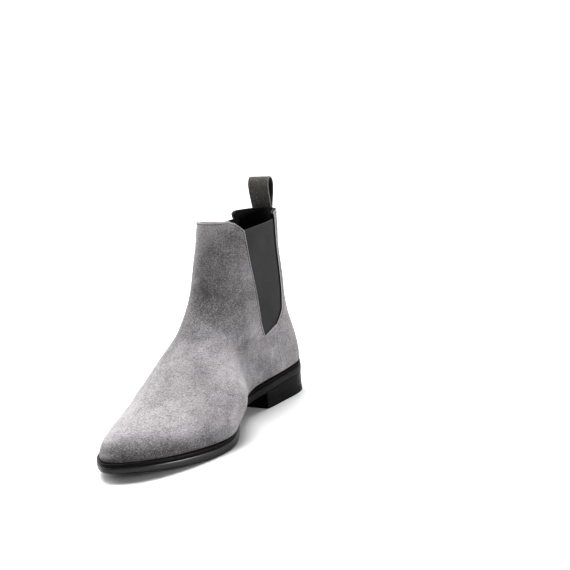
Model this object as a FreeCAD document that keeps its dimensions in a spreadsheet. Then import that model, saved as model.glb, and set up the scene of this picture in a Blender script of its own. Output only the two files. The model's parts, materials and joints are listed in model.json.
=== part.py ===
import FreeCAD, Part
import math
import os

# Left chelsea boot in millimetres. Origin: centre of the heel tread, on the ground.
# +X runs to the toe, +Y to the lateral (outer) side, +Z up.
# The foot and shaft are one skin, a loft through level curves of the last. Every layer of
# the boot (suede, lining, stiffeners) is the space between two depths of that skin, and every
# layer of the bottom (insole, welt, outsole) lies between two offsets of the sole-top curve.

Vector = FreeCAD.Vector

DRIVING = {
    # plan of the sole edge
    "sole_length": 302.0,
    "heel_back": 34.0,
    "heel_half_width": 33.0,
    "waist_at": 84.0,
    "waist_half_outer": 28.0,
    "waist_half_inner": 26.0,
    "ball_at_outer": 160.0,
    "ball_at_inner": 187.0,
    "ball_half_outer": 57.0,
    "ball_half_inner": 43.0,
    "toe_taper_outer": 106.0,
    "toe_taper_inner": 90.0,
    "toe_fullness": 1.75,
    # height of the sole top (where the upper meets the welt)
    "sole_top_heel": 31.5,
    "sole_top_seat": 29.0,
    "sole_top_waist": 23.6,
    "sole_top_ball": 10.8,
    "sole_top_toe": 17.2,
    "ball_at": 172.0,
    # bottom stack
    "welt_thick": 3.2,
    "welt_inset": 0.4,
    "outsole_thick": 7.6,
    "toe_thinning": 2.7,
    "toe_thinning_from": 195.0,
    "lasting_margin": 16.0,
    "upper_inset": 3.0,
    "insole_thick": 2.2,
    "foam_thick": 2.2,
    "sock_thick": 1.0,
    "sock_end": 105.0,
    "shank_thick": 1.6,
    "shank_width": 12.0,
    "shank_start": 15.0,
    "shank_length": 125.0,
    "heel_front": 54.0,
    "heel_inset": 0.4,
    "top_lift_thick": 6.0,
    "nail_radius": 1.0,
    "nail_foot": 0.8,
    "nail_tall": 14.0,
    "nail_margin": 9.0,
    "nail_count": 7.0,
    "nail_arc": 150.0,
    # upper
    "suede_thick": 1.6,
    "lining_thick": 1.8,
    "stiffener_thick": 0.9,
    "shaft_half_ankle": 29.6,
    "shaft_half_top": 26.0,
    "shaft_from": 35.0,
    "shaft_blend": 75.0,
    "shaft_round_back": 42.0,
    "shaft_round_front": 48.0,
    "shaft_fullness": 2.25,
    "waist_swell_outer": 8.0,
    "waist_swell_inner": 3.0,
    "waist_tuck_outer": 3.5,
    "waist_tuck_inner": 1.0,
    "waist_swell_at": 122.0,
    "waist_swell_reach": 60.0,
    "waist_swell_rise": 10.0,
    "waist_swell_top": 75.0,
    "side_swell": 1.5,
    "side_swell_from": 15.0,
    "side_swell_tall": 40.0,
    "front_top": 185.2,
    "back_top": 183.6,
    "gusset_top": 173.8,
    "gusset_back_rise": 2.4,
    "window_clearance": 0.3,
    "side_seam_foot_at": 24.5,
    "back_topline_end": 7.5,
    "gusset_underlap": 6.0,
    "back_corner_radius": 5.0,
    "facing_depth": 16.0,
    "puff_start": 214.0,
    "counter_front": 38.0,
    "counter_top": 84.0,
    # pull tab
    "tab_width": 23.0,
    "tab_loop_height": 28.5,
    "tab_loop_depth": 8.4,
    "tab_ply": 1.1,
    "tab_backing_ply": 0.7,
    "tab_sewn_length": 14.0,
    "tab_offset": -3.5,
    "tab_clearance": 1.2,
    "tab_joined": 2.2,
    "tab_neck_inside": 0.9,
    "tab_neck_outside": 1.5,
    "tab_neck_up": 4.0,
    "tab_widest_part": 0.72,
}

# Front ridge (height, distance to the toe end) and back line (height, x) of the outer skin.
RIDGE = ((0, 3), (20, 3.2), (26.8, 11), (36.9, 35), (51, 63), (69.5, 95), (86.3, 128),
         (110, 155), (140, 166), (205, 185))
BACK = ((0, -31), (20, -33.2), (45, -34.6), (95, -20.6), (150, -19.2), (183, -21.6),
        (210, -23))
# Outlines in side view (x, z): gusset edge of the vamp from the tip up, gusset edge of the
# quarter from the top down to the side seam, and the vamp's topline from the front back.
FRONT_EDGE = ((46.8, 70), (52.6, 84), (56, 103), (61, 141), (63.2, 173.8))
BACK_EDGE = ((5, 174), (6.7, 130), (8.8, 106.5), (12.8, 89), (19.3, 82.2), (26, 76.3))
FRONT_TOPLINE = ((84, 185.2), (74, 182.9))
LEVELS = (2, 9, 15, 20, 24, 28.5, 34, 41, 50, 60, 71, 84, 98, 114, 132, 152, 174, 205)
STATIONS = 12
EDGE_POINTS = 32
SIDES = {1: "outer", -1: "inner"}
# reach of the tools that cut the boot: half across, above it and under the ground
SPAN = 90.0
CEILING = 260.0
BELOW = -20.0

doc = FreeCAD.newDocument("ChelseaBoot")
sheet = doc.addObject("Spreadsheet::Sheet", "Sizes")
for row, (alias, value) in enumerate(DRIVING.items(), start=1):
    sheet.set("A%d" % row, alias)
    sheet.set("B%d" % row, str(value))
    sheet.setAlias("B%d" % row, alias)
doc.recompute()


def size(alias):
    return float(sheet.get(alias))


TOE_END = size("sole_length") - size("heel_back")
MARGIN_TOP = size("suede_thick") + size("lining_thick")
STACK = size("welt_thick") + size("outsole_thick")


# --- guide curves -------------------------------------------------------------------------

def graph(points):
    """A smooth curve through (position, value) points that never overshoots them."""
    gaps = [b[0] - a[0] for a, b in zip(points, points[1:])]
    slopes = [(b[1] - a[1]) / gap for a, b, gap in zip(points, points[1:], gaps)]
    tangents = [slopes[0]]
    for before, after in zip(slopes, slopes[1:]):
        turning = before * after <= 0
        tangents.append(0.0 if turning else 2 * before * after / (before + after))
    tangents.append(slopes[-1])

    def value(position):
        position = min(max(position, points[0][0]), points[-1][0])
        i = 0
        while i < len(gaps) - 1 and position > points[i + 1][0]:
            i += 1
        u = (position - points[i][0]) / gaps[i]
        rise = 3 * u * u - 2 * u ** 3
        bend = (u ** 3 - 2 * u * u + u) * tangents[i] + (u ** 3 - u * u) * tangents[i + 1]
        return points[i][1] * (1 - rise) + points[i + 1][1] * rise + bend * gaps[i]

    return value


def ease(u):
    u = min(max(u, 0.0), 1.0)
    return u * u * (3 - 2 * u)


sole_top = graph((
    (-45, size("sole_top_heel")),
    (20, size("sole_top_seat")),
    (size("waist_at"), size("sole_top_waist")),
    (size("ball_at"), size("sole_top_ball")),
    (TOE_END, size("sole_top_toe")),
))
ridge = graph([(height, TOE_END - inset) for height, inset in RIDGE])
back_line = graph(BACK)
shaft_half = graph((
    (0, size("shaft_half_ankle")),
    (95, size("shaft_half_ankle")),
    (175, size("shaft_half_top")),
    (CEILING, size("shaft_half_top")),
))


def foot_half(side):
    """Half width of the sole edge along X, before the heel and toe ends close it."""
    name = "outer" if side > 0 else "inner"
    return graph((
        (-60, size("heel_half_width")),
        (0, size("heel_half_width")),
        (size("waist_at"), size("waist_half_" + name)),
        (size("ball_at_" + name), size("ball_half_" + name)),
        (TOE_END + 60, size("ball_half_" + name)),
    ))


FOOT_HALF = {1: foot_half(1), -1: foot_half(-1)}
WAIST_SWELL = {1: size("waist_swell_outer"), -1: size("waist_swell_inner")}
WAIST_TUCK = {1: size("waist_tuck_outer"), -1: size("waist_tuck_inner")}
TOE_TAPER = {1: size("toe_taper_outer"), -1: size("toe_taper_inner")}


def at_waist(x):
    """One at the middle of the waist, nothing beyond its reach."""
    away = min(abs(x - size("waist_swell_at")) / size("waist_swell_reach"), 1)
    return (1 - away ** 2) ** 2


def closed_half(x, start, end, full, round_back, round_front, fullness):
    """Half width at x of an outline that closes as a circle at the back, fuller in front."""
    back = math.sqrt(max(0.0, 1 - (1 - min((x - start) / round_back, 1)) ** 2))
    rest = 1 - min((end - x) / round_front, 1)
    return full * back * max(0.0, 1 - rest ** fullness) ** (1 / fullness)


def sole_edge(turn, inset):
    """Point of the sole edge, turn 0 at the heel, half a turn at the toe."""
    side = 1 if math.sin(turn) >= 0 else -1
    start = inset - size("heel_back")
    end = TOE_END - inset
    x = start + (end - start) * (0.5 - 0.5 * math.cos(turn))
    full = FOOT_HALF[side](x) - inset - WAIST_TUCK[side] * at_waist(x)
    half = closed_half(x, start, end, full, size("heel_half_width"), TOE_TAPER[side],
                       size("toe_fullness"))
    return Vector(x, side * half, 0)


def inward(curve, depth, outward):
    """The side-view curve x(height) moved inwards by depth; outward is +1 in front, -1 behind."""
    points = []
    for z in range(0, int(LEVELS[-1]) + 1, 2):
        slope = curve(z + 1) - curve(z - 1)
        stretch = math.hypot(2, slope)
        height = z + depth * outward * slope / stretch
        if not points or height > points[-1][0] + 0.4:
            points.append((height, curve(z) - outward * depth * 2 / stretch))
    return graph(points)


def skin_level(side, z, start, end, depth):
    """Half a level curve of the skin: foot outline low down, an oval shaft above the ankle."""
    shaft = ease((z - size("shaft_from")) / size("shaft_blend"))
    below = size("waist_swell_top")
    fade = 1 - ease((z - below / 2) / (below / 2))
    up_swell = min(max((z - size("side_swell_from")) / size("side_swell_tall"), 0), 1)
    swell = size("side_swell") * math.sin(math.pi * up_swell)
    round_back = size("heel_half_width") * (1 - shaft) + size("shaft_round_back") * shaft
    round_front = TOE_TAPER[side] * (1 - shaft) + size("shaft_round_front") * shaft
    fullness = size("toe_fullness") * (1 - shaft) + size("shaft_fullness") * shaft
    points = []
    for k in range(STATIONS + 1):
        x = start + (end - start) * (0.5 - 0.5 * math.cos(math.pi * k / STATIONS))
        rise = min(max((z - sole_top(x)) / size("waist_swell_rise"), 0), 1)
        over = WAIST_SWELL[side] * at_waist(x) * math.sin(math.pi / 2 * rise) * fade
        foot = FOOT_HALF[side](x) - size("upper_inset") + swell + over
        full = foot * (1 - shaft) + shaft_half(z) * shaft - depth
        half = closed_half(x, start, end, full, round_back, round_front, fullness)
        points.append(Vector(x, side * half if 0 < k < STATIONS else 0, z))
    curve = Part.BSplineCurve()
    steps = [float(k) for k in range(len(points))]
    curve.interpolate(Points=points, Parameters=steps,
                      InitialTangent=Vector(0, points[1].y, 0),
                      FinalTangent=Vector(0, -points[-2].y, 0), Scale=False)
    return curve


def half_solid(levels):
    """Solid between the XZ plane and a surface through half level curves, level by level."""
    columns = []
    for column in zip(*[level.getPoles() for level in levels]):
        upward = Part.BSplineCurve()
        upward.interpolate(Points=list(column), Parameters=[float(z) for z in LEVELS])
        columns.append(upward)
    surface = Part.BSplineSurface()
    surface.buildFromPolesMultsKnots(
        [upward.getPoles() for upward in columns],
        levels[0].getMultiplicities(), columns[0].getMultiplicities(),
        levels[0].getKnots(), columns[0].getKnots(), False, False, 3, 3)
    wall = surface.toShape()
    faces = [wall]
    rims = []
    for height in (LEVELS[0], LEVELS[-1]):
        rim = [edge for edge in wall.Edges if abs(edge.CenterOfMass.z - height) < 0.01][0]
        ends = [vertex.Point for vertex in rim.Vertexes]
        rims.append(Part.makeLine(ends[0], ends[1]))
        faces.append(Part.Face(Part.Wire([rim, rims[-1]])))
    uprights = [edge for edge in wall.Edges if abs(edge.CenterOfMass.y) < 0.01]
    faces.append(Part.Face(Part.Wire(Part.sortEdges(uprights + rims)[0])))
    shell = Part.Shell(faces)
    shell.sewShape()
    return Part.Solid(shell)


def closed_wire(points):
    curve = Part.BSplineCurve()
    steps = [float(k) for k in range(len(points) + 1)]
    curve.interpolate(Points=points, Parameters=steps, PeriodicFlag=True)
    return Part.Wire([curve.toShape()])


# --- building blocks ----------------------------------------------------------------------

def feature(name, shape):
    made = doc.addObject("Part::Feature", name)
    made.Shape = shape
    return made


def skin(name, depth):
    """Solid inside the skin at this depth under the outer face, as two halves."""
    back, front = inward(back_line, depth, -1), inward(ridge, depth, 1)
    halves = {}
    for side, word in SIDES.items():
        levels = [skin_level(side, z, back(z), front(z), depth) for z in LEVELS]
        halves[side] = feature("%s_%s" % (name, word), half_solid(levels))
    return halves


def outsole_foot(x):
    """Height of the tread over the sole-top curve: the outsole thins towards the toe."""
    start = size("toe_thinning_from")
    return size("toe_thinning") * ease((x - start) / (TOE_END - start)) - STACK


def sole_slab(name, low, high):
    """Space between two heights above the sole-top curve, as wide as the boot and more."""
    def edge(offset):
        curve = Part.BSplineCurve()
        curve.interpolate([Vector(x, -SPAN, sole_top(x) + (offset(x) if callable(offset)
                                                           else offset))
                           for x in range(-60, 321, 20)])
        return curve.toShape()
    lower, upper = edge(low), edge(high)
    ends = [Part.makeLine(lower.valueAt(lower.FirstParameter), upper.valueAt(upper.FirstParameter)),
            Part.makeLine(lower.valueAt(lower.LastParameter), upper.valueAt(upper.LastParameter))]
    face = Part.Face(Part.Wire(Part.sortEdges([lower, ends[1], upper, ends[0]])[0]))
    return feature(name, face.extrude(Vector(0, 2 * SPAN, 0)))


def edge_prism(name, inset):
    """Upright prism on the sole edge moved inwards by inset, through the whole bottom."""
    points = [sole_edge(2 * math.pi * k / EDGE_POINTS, inset) for k in range(EDGE_POINTS)]
    face = Part.Face(closed_wire(points))
    face.translate(Vector(0, 0, BELOW))
    return feature(name, face.extrude(Vector(0, 0, SPAN - BELOW)))


def side_prism(name, corners, low=-SPAN, high=SPAN):
    """Prism across the boot on an outline in the XZ plane."""
    loop = [Vector(x, low, z) for x, z in corners]
    face = Part.Face(Part.makePolygon(loop + loop[:1]))
    return feature(name, face.extrude(Vector(0, high - low, 0)))


def box(name, start, length, low="0", tall=str(CEILING), width=str(2 * SPAN), middle="0"):
    """Box centred across the boot at middle, its sizes bound to the sheet."""
    made = doc.addObject("Part::Box", name)
    made.setExpression("Length", length)
    made.setExpression("Width", width)
    made.setExpression("Height", tall)
    made.setExpression("Placement.Base.x", start)
    made.setExpression("Placement.Base.y", "%s - (%s) / 2" % (middle, width))
    made.setExpression("Placement.Base.z", low)
    return made


def common(name, *shapes):
    made = doc.addObject("Part::MultiCommon", name)
    made.Shapes = list(shapes)
    return made


def within(name, halves, area):
    """Both halves of a skin, cut down to an area."""
    return {side: common("%s_%s" % (name, word), halves[side], area)
            for side, word in SIDES.items()}


def fuse(name, *shapes):
    made = doc.addObject("Part::MultiFuse", name)
    made.Shapes = list(shapes)
    return made


def cut(name, base, *tools):
    """The base less each tool in turn."""
    for number, tool in enumerate(tools, start=1):
        last = number == len(tools)
        made = doc.addObject("Part::Cut", name if last else "%s_cut_%d" % (name, number))
        made.Base = base
        made.Tool = tool
        base = made
    return made


# --- layers of the skin -------------------------------------------------------------------

outer_skin = skin("outer_skin", 0.0)
suede_inside = skin("suede_inside", size("suede_thick"))
stiffener_inside = skin("stiffener_inside", size("suede_thick") + size("stiffener_thick"))
lining_inside = skin("lining_inside", MARGIN_TOP)

foot_space = sole_slab("foot_space", 0.0, CEILING)
above_suede_margin = sole_slab("above_suede_margin", size("suede_thick"), CEILING)
above_margins = sole_slab("above_margins", MARGIN_TOP, CEILING)
filler_plan = edge_prism("filler_plan", size("upper_inset") + size("lasting_margin"))
margin_level = sole_slab("margin_level", -2.0, MARGIN_TOP + 2.0)
lasting_opening = common("lasting_opening", filler_plan, margin_level)

suede_solid = within("suede_solid", outer_skin, foot_space)
suede_hollow = within("suede_hollow", suede_inside, above_suede_margin)
lining_hollow = within("lining_hollow", lining_inside, above_margins)


def layer(name, outside, inside, area, *holes):
    """The part of a layer of the skin that lies within an area."""
    blocks = within(name + "_block", outside, area)
    halves = []
    for side, word in SIDES.items():
        halves.append(cut("%s_%s" % (name, word), blocks[side], inside[side],
                          lasting_opening, *holes))
    return fuse(name, *halves)


# --- outlines seen from the side ----------------------------------------------------------

TIP = FRONT_EDGE[0]
SEAM_TOP = BACK_EDGE[-1]
SEAM_FOOT = (size("side_seam_foot_at"), -10.0)


def rounded_corner(corner, radius, toward_x):
    """Square notch piece that a corner of the topline loses to a quarter-round of radius."""
    x, z = corner
    centre = Vector(x + toward_x * radius, 0, z - radius)
    block = Part.makeBox(radius + 1, 2 * SPAN, radius + 1,
                         Vector(min(x - toward_x, centre.x), -SPAN, centre.z))
    rod = Part.makeCylinder(radius, 2 * SPAN, Vector(centre.x, -SPAN, centre.z), Vector(0, 1, 0))
    return block.cut(rod)


front_area = side_prism("front_area", [
    (TOE_END + 40, -10), (TOE_END + 40, size("front_top")), *FRONT_TOPLINE,
    *FRONT_EDGE[::-1], SEAM_TOP, SEAM_FOOT])
back_end = (size("back_topline_end"), size("back_top"))
back_area = side_prism("back_area", [
    (-60, -10), (-60, size("back_top")), back_end, *BACK_EDGE, SEAM_FOOT])
back_corner = feature("back_corner",
                      rounded_corner(back_end, size("back_corner_radius"), -1))

underlap = size("gusset_underlap")
GUSSET_CORNERS = [
    (FRONT_EDGE[-1][0] + underlap, size("gusset_top")),
    *[(x + underlap, z) for x, z in FRONT_EDGE[-2::-1]],
    (TIP[0] + underlap / 2, TIP[1] - underlap),
    (TIP[0] - underlap, TIP[1] - underlap),
    *[(x - underlap, z - underlap / 2) for x, z in BACK_EDGE[:0:-1]],
    (BACK_EDGE[0][0] - underlap, size("gusset_top") + size("gusset_back_rise"))]
gusset_area = side_prism("gusset_area", GUSSET_CORNERS)
# The lining is cut away where the gusset lies, and above it only between the suede edges.
window_top = size("gusset_top") + size("window_clearance")
gusset_window = side_prism("gusset_window", [
    (FRONT_EDGE[-1][0] - 1, CEILING), (FRONT_EDGE[-1][0] - 1, window_top),
    (GUSSET_CORNERS[0][0], window_top), *GUSSET_CORNERS,
    (GUSSET_CORNERS[-1][0], window_top + size("gusset_back_rise")),
    (back_end[0] + 1, window_top + size("gusset_back_rise")), (back_end[0] + 1, CEILING)])

# --- upper --------------------------------------------------------------------------------

quarter_area = cut("quarter_area", back_area, back_corner)
vamp = layer("vamp", suede_solid, suede_hollow, front_area)
quarter = layer("quarter", suede_solid, suede_hollow, quarter_area)

gusset_block = within("gusset_block", suede_hollow, gusset_area)
gusset_lateral = cut("gusset_lateral", gusset_block[1], lining_hollow[1])
gusset_medial = cut("gusset_medial", gusset_block[-1], lining_hollow[-1])

toe_area = box("toe_area", "Sizes.puff_start", "Sizes.sole_length")
counter_box = box("counter_box", "-Sizes.sole_length", "Sizes.sole_length + Sizes.counter_front",
                  tall="Sizes.counter_top")
counter_area = cut("counter_area", counter_box, gusset_window)
toe_puff = layer("toe_puff", suede_hollow, stiffener_inside, toe_area)
heel_counter = layer("heel_counter", suede_hollow, stiffener_inside, counter_area)

front_facing_area = box("front_facing_area", "0", "Sizes.sole_length",
                        low="Sizes.front_top - Sizes.facing_depth")
back_facing_area = box("back_facing_area", "-Sizes.sole_length", "2 * Sizes.sole_length",
                       low="Sizes.back_top - Sizes.facing_depth")
tab_slot = box("tab_slot", "-Sizes.heel_back", "Sizes.heel_back",
               low="Sizes.back_top - Sizes.tab_sewn_length", tall="Sizes.tab_sewn_length",
               width="Sizes.tab_width", middle="Sizes.tab_offset")
pull_tab_ends = layer("pull_tab_ends", suede_hollow, stiffener_inside, tab_slot)

front_open = cut("front_open", front_area, gusset_window)
back_open = cut("back_open", quarter_area, gusset_window)
front_facing_zone = common("front_facing_zone", front_open, front_facing_area)
back_facing_zone = common("back_facing_zone", back_open, back_facing_area)
front_lining_zone = cut("front_lining_zone", front_open, front_facing_area)
back_lining_zone = cut("back_lining_zone", back_open, back_facing_area)
facing_front = layer("facing_front", suede_hollow, lining_hollow, front_facing_zone)
facing_back = layer("facing_back", suede_hollow, lining_hollow, back_facing_zone, pull_tab_ends)
vamp_lining = layer("vamp_lining", suede_hollow, lining_hollow, front_lining_zone,
                    toe_puff, heel_counter)
quarter_lining = layer("quarter_lining", suede_hollow, lining_hollow, back_lining_zone,
                       heel_counter)

# --- bottom -------------------------------------------------------------------------------

flex_rear = box("flex_rear", "-Sizes.sole_length", "Sizes.sole_length + Sizes.ball_at",
                low=str(BELOW))
flex_front = box("flex_front", "Sizes.ball_at", "Sizes.sole_length", low=str(BELOW))
sole_plan = edge_prism("sole_plan", 0.0)
welt_plan = edge_prism("welt_plan", size("welt_inset"))
insole_level = sole_slab("insole_level", MARGIN_TOP, MARGIN_TOP + size("insole_thick"))
foam_low = MARGIN_TOP + size("insole_thick")
foam_level = sole_slab("foam_level", foam_low, foam_low + size("foam_thick"))
sock_low = foam_low + size("foam_thick")
sock_level = sole_slab("sock_level", sock_low, sock_low + size("sock_thick"))
filler_level = sole_slab("filler_level", -size("welt_thick"), MARGIN_TOP)
welt_level = sole_slab("welt_level", -size("welt_thick"), 0.0)
outsole_level = sole_slab("outsole_level", outsole_foot, -size("welt_thick"))
under_seat = sole_slab("under_seat", -STACK - CEILING, -STACK)
shank_level = sole_slab("shank_level", -size("shank_thick") / 2, size("shank_thick") / 2)
sock_area = box("sock_area", "-Sizes.sole_length", "Sizes.sole_length + Sizes.sock_end")
shank_area = box("shank_area", "Sizes.shank_start", "Sizes.shank_length",
                 width="Sizes.shank_width")


def sheet_layer(name, level, area):
    """A flat layer inside the lining, from side to side."""
    piece = common(name + "_sheet", level, area)
    return fuse(name, *within(name, lining_inside, piece).values())


insole_rear = sheet_layer("insole_rear", insole_level, flex_rear)
insole_forepart = sheet_layer("insole_forepart", insole_level, flex_front)
heel_pad = sheet_layer("heel_pad", foam_level, sock_area)
heel_sock = sheet_layer("heel_sock", sock_level, sock_area)
shank = common("shank", shank_level, shank_area)
filler = common("filler", filler_plan, filler_level)
filler_rear_whole = common("filler_rear_whole", filler, flex_rear)
filler_rear = cut("filler_rear", filler_rear_whole, shank)
filler_forepart = common("filler_forepart", filler, flex_front)
welt_whole = common("welt_whole", welt_plan, welt_level)
welt = cut("welt", welt_whole, filler_plan)
welt_rear = common("welt_rear", welt, flex_rear)
welt_forepart = common("welt_forepart", welt, flex_front)
outsole = common("outsole", sole_plan, outsole_level)
outsole_rear = common("outsole_rear", outsole, flex_rear)
outsole_forepart = common("outsole_forepart", outsole, flex_front)

heel_plan = edge_prism("heel_plan", size("heel_inset"))
heel_area = box("heel_area", "-Sizes.sole_length", "Sizes.sole_length + Sizes.heel_front",
                tall="Sizes.top_lift_thick")
block_area = box("block_area", "-Sizes.sole_length", "Sizes.sole_length + Sizes.heel_front",
                 low="Sizes.top_lift_thick")
nails = []
for k in range(int(size("nail_count"))):
    turn = math.radians(size("nail_arc") * (k / (size("nail_count") - 1) - 0.5))
    nail = doc.addObject("Part::Cylinder", "nail_%d" % (k + 1))
    nail.setExpression("Radius", "Sizes.nail_radius")
    nail.setExpression("Height", "Sizes.nail_tall")
    nail.setExpression("Placement.Base.x",
                       "-(Sizes.heel_half_width - Sizes.nail_margin) * %.4f" % math.cos(turn))
    nail.setExpression("Placement.Base.y",
                       "(Sizes.heel_half_width - Sizes.nail_margin) * %.4f" % math.sin(turn))
    nail.setExpression("Placement.Base.z", "Sizes.nail_foot")
    nails.append(nail)
heel_nails = fuse("heel_nails", *nails)
top_lift_whole = common("top_lift_whole", heel_plan, heel_area)
heel_block_whole = common("heel_block_whole", heel_plan, block_area, under_seat)
heel_top_lift = cut("heel_top_lift", top_lift_whole, heel_nails)
heel_block = cut("heel_block", heel_block_whole, heel_nails)

# --- pull tab -----------------------------------------------------------------------------

TAB_Z = size("back_top") + size("tab_clearance")
TAB_X = back_line(size("back_top")) + size("suede_thick") + size("stiffener_thick") / 2


def teardrop(shrink):
    """Side outline of the loop: both legs meet at the topline and swell to a round top."""
    half = size("tab_loop_depth") / 2 - shrink
    top = size("tab_loop_height") - shrink
    foot = size("tab_joined") if shrink else 0.0
    neck = size("tab_neck_inside") if shrink else size("tab_neck_outside")
    neck_up, widest = foot + size("tab_neck_up"), top * size("tab_widest_part")
    points = [(0, foot), (-neck, neck_up), (-half, widest), (0, top),
              (half, widest), (neck, neck_up)]
    start = size("tab_offset") - size("tab_width") / 2
    return [Vector(TAB_X + x, start, TAB_Z + z) for x, z in points]


def loop_prism(name, shrink):
    curve = Part.BSplineCurve()
    points = teardrop(shrink)
    curve.interpolate(points + points[:1])
    face = Part.Face(Part.Wire([curve.toShape()]))
    return feature(name, face.extrude(Vector(0, size("tab_width"), 0)))


loop_outside = loop_prism("loop_outside", 0.0)
loop_middle = loop_prism("loop_middle", size("tab_ply"))
loop_inside = loop_prism("loop_inside", size("tab_ply") + size("tab_backing_ply"))
pull_tab = cut("pull_tab", loop_outside, loop_middle)
pull_tab_backing = cut("pull_tab_backing", loop_middle, loop_inside)

# --- checks and export --------------------------------------------------------------------

NODES = (
    vamp, quarter, gusset_lateral, gusset_medial, vamp_lining, quarter_lining,
    facing_front, facing_back, pull_tab_ends, pull_tab, pull_tab_backing,
    toe_puff, heel_counter, heel_sock, heel_pad, insole_rear, insole_forepart,
    shank, filler_rear, filler_forepart, welt_rear, welt_forepart,
    outsole_rear, outsole_forepart, heel_block, heel_top_lift, heel_nails,
)

doc.recompute()
for made in doc.Objects:
    if "Invalid" in made.State or "Error" in made.State:
        raise RuntimeError("%s did not build: %s" % (made.Name, made.State))
for node in NODES:
    node.Label = node.Name
    if node.Shape.isNull() or not node.Shape.isValid():
        raise RuntimeError("%s has no valid shape" % node.Name)
    print("%-18s solids %d volume %9.0f" % (node.Name, len(node.Shape.Solids), node.Shape.Volume))

os.makedirs("parts", exist_ok=True)
for node in NODES:
    node.Shape.exportStep(os.path.join("parts", node.Label + ".step"))
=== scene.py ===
import json
import math

import bpy
import numpy as np
from mathutils import Matrix, Vector
from mathutils.bvhtree import BVHTree
from mathutils.kdtree import KDTree


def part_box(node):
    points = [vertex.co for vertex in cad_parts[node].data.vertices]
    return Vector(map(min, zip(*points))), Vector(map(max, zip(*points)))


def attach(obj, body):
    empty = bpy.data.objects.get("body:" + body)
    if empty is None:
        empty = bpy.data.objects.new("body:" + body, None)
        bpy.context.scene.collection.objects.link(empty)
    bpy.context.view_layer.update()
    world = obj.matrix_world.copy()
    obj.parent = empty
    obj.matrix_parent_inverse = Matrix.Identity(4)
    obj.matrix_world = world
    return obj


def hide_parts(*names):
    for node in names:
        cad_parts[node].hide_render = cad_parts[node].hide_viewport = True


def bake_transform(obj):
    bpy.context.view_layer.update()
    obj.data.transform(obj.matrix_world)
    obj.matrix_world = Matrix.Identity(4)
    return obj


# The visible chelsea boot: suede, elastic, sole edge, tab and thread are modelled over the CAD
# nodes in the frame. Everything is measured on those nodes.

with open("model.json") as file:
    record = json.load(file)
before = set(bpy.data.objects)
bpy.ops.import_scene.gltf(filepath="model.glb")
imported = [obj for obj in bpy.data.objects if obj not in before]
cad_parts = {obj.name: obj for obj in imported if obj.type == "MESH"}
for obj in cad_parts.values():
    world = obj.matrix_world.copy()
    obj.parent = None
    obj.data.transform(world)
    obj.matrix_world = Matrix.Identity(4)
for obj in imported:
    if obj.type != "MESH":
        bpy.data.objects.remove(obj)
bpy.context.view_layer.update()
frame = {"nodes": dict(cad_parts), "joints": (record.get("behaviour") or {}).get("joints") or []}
NODES = frame["nodes"]
MM = 0.001

# --- camera -------------------------------------------------------------------------------
CAM_AZIMUTH = math.radians(29.41)
CAM_HEIGHT = math.radians(11.11)
CAM_ROLL = math.radians(-4.19)
CAM_DISTANCE = 1.0576
CAM_TARGET = Vector((0.04596, 0.05276, 0.11992))
CAM_LENS = 71.75

# --- thicknesses and stitching ------------------------------------------------------------
SUEDE = 1.45 * MM
ELASTIC = 1.6 * MM
# how far the rounded rim of a cut edge stands out from the sheet
RIM = 0.3 * MM
STITCH_PITCH = 2.5 * MM
STITCH_LONG = 1.7 * MM
STITCH_RADIUS = 0.28 * MM
STITCH_INSET = 2.3 * MM
RIB_PITCH = 1.25 * MM
RIB_DEPTH = 0.14 * MM
# mm from a sewn edge at which a panel has rows of points
EDGE_STEPS = [0.0, 0.5, 1.0, 1.5, 2.0, 2.5, 3.0, 3.7, 4.6]


def ease(u):
    u = np.clip(u, 0.0, 1.0)
    return u * u * (3 - 2 * u)


def joint(name):
    return next(j for j in frame["joints"] if j["name"] == name)


# --- reading the frame --------------------------------------------------------------------

class Solid:
    """Rays against one or more CAD nodes, and the outlines they give."""

    def __init__(self, *names):
        points, faces = [], []
        for name in names:
            mesh = NODES[name].data
            base = len(points)
            points += [v.co.copy() for v in mesh.vertices]
            faces += [[base + i for i in p.vertices] for p in mesh.polygons]
        self.tree = BVHTree.FromPolygons(points, faces)

    def side(self, side, x, z):
        """Y of the wall that faces that side at (x, z), or None where it is open."""
        hit = self.tree.ray_cast(Vector((x, side * 0.3, z)), Vector((0, -side, 0)))[0]
        return hit.y if hit is not None and hit.y * side > 0 else None

    def down(self, x, y=0.0):
        hit = self.tree.ray_cast(Vector((x, y, 0.5)), Vector((0, 0, -1)))[0]
        return hit.z if hit is not None else None

    def up(self, x, y=0.0):
        hit = self.tree.ray_cast(Vector((x, y, -0.5)), Vector((0, 0, 1)))[0]
        return hit.z if hit is not None else None

    def last(self, side, there, away):
        """The last point on the way from one (x, z) to another that still has a wall."""
        good, bad = np.array(there, float), np.array(away, float)
        for _ in range(16):
            middle = (good + bad) / 2
            if self.side(side, *middle) is None:
                bad = middle
            else:
                good = middle
        return good


# --- meshes -------------------------------------------------------------------------------

def grid_faces(rows, columns):
    return [(r * columns + c, r * columns + c + 1, (r + 1) * columns + c + 1,
             (r + 1) * columns + c)
            for r in range(rows - 1) for c in range(columns - 1)]


def merged(parts):
    """Patches of (points, faces) as one, with points that coincide made one."""
    points, faces, seen = [], [], {}
    for some, cells in parts:
        index = []
        for p in some:
            key = tuple(np.round(np.array(p) / (0.02 * MM)).astype(int))
            if key not in seen:
                seen[key] = len(points)
                points.append(Vector(p))
            index.append(seen[key])
        for cell in cells:
            face = []
            for i in cell:
                if index[i] not in face:
                    face.append(index[i])
            if len(face) > 2:
                faces.append(tuple(face))
    return points, faces


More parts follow.
